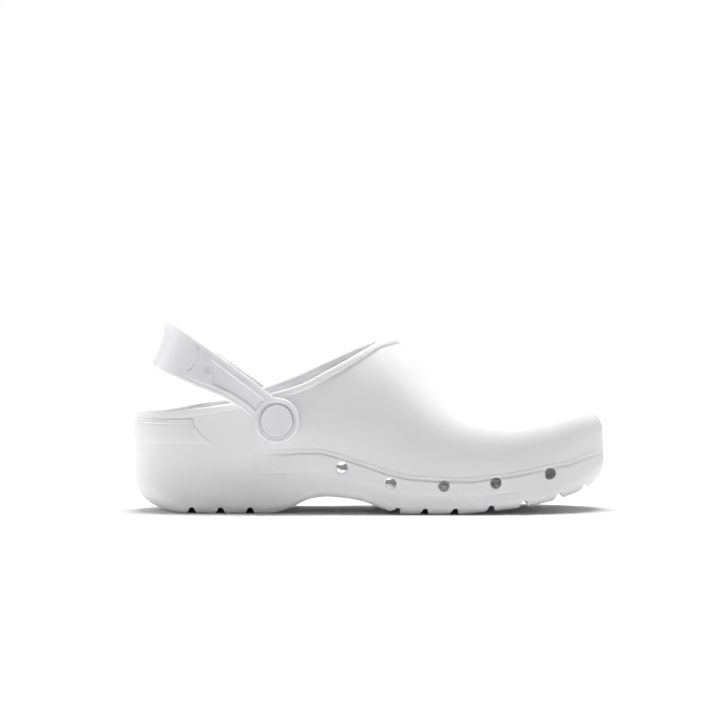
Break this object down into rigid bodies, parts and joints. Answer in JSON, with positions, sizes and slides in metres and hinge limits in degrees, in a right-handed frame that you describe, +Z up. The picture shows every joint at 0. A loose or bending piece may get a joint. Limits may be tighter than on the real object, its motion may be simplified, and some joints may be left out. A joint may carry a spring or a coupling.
{
  "type": "moulded work clog",
  "caption": "Right work clog moulded whole from foam: closed toe, wide collar, vented side band, grooved sole, loose insole and a swivelling heel strap on two round rivets.",
  "frame": {"origin": "on the floor under the middle of the clog's bounding box", "axes": "+X from heel to toe, +Z up, lateral (outer) side towards -Y"},
  "size_m": [0.2771, 0.104, 0.1127],
  "materials": {
    "shell_foam": "satin moulded foam, white",
    "insole_foam": "matt foam, white",
    "strap_foam": "satin moulded foam, white",
    "button_plastic": "satin plastic, white",
    "keeper_plastic": "matt plastic, white"
  },
  "bodies": {
    "root": {"clog_shell": "shell_foam", "insole": "insole_foam", "heel_strap": "strap_foam", "rivet_button_lateral": "button_plastic", "rivet_button_medial": "button_plastic", "rivet_keeper_lateral": "keeper_plastic", "rivet_keeper_medial": "keeper_plastic"}
  },
  "joints": []
}
